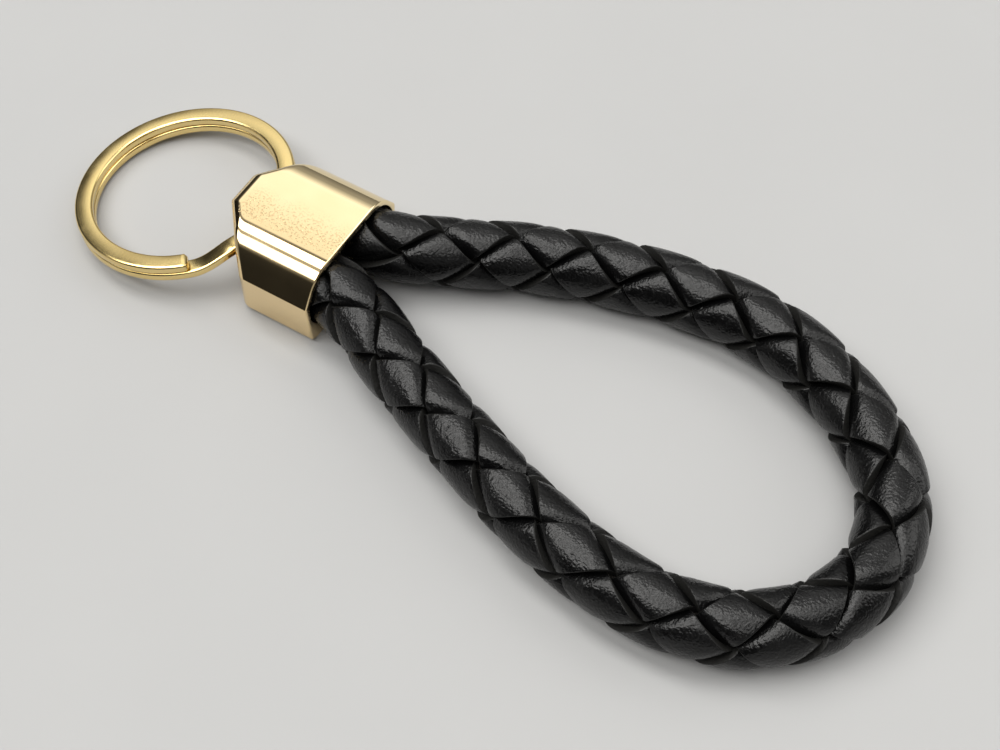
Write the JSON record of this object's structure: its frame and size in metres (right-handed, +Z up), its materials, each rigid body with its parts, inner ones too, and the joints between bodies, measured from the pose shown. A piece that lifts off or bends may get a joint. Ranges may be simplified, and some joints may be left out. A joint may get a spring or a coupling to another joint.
{
  "type": "wristlet keychain",
  "caption": "Braided black leather cord loop with both ends in a flattened gold end cap, and a gold split ring through the cap's nose.",
  "frame": {"origin": "middle of the end cap's flat underside, on the surface the keychain lies on", "axes": "+X along the cap towards the leather loop, +Y across the cap, +Z up out of the surface"},
  "size_m": [0.1306, 0.0544, 0.0122],
  "materials": {
    "cap_gold": "polished pale gold plating with a faint cast texture",
    "ring_gold": "satin yellow gold plating",
    "black_leather": "semi-gloss black grain leather",
    "core_fibre": "matt twisted fibre",
    "cured_glue": "cured clear adhesive, slightly yellow"
  },
  "bodies": {
    "loop": {"end_cap": "cap_gold", "glue_fill": "cured_glue", "cord_core": "core_fibre", "leather_strand_1": "black_leather", "leather_strand_2": "black_leather", "leather_strand_3": "black_leather", "leather_strand_4": "black_leather", "leather_strand_5": "black_leather", "leather_strand_6": "black_leather"},
    "ring": {"split_ring": "ring_gold"}
  },
  "joints": [
    {"name": "ring_swing", "type": "hinge", "parent": "loop", "child": "ring", "pos_m": [-0.0077, 0, 0.0061], "axis": [0, 1, 0], "range_deg": [-60, 80]}
  ]
}
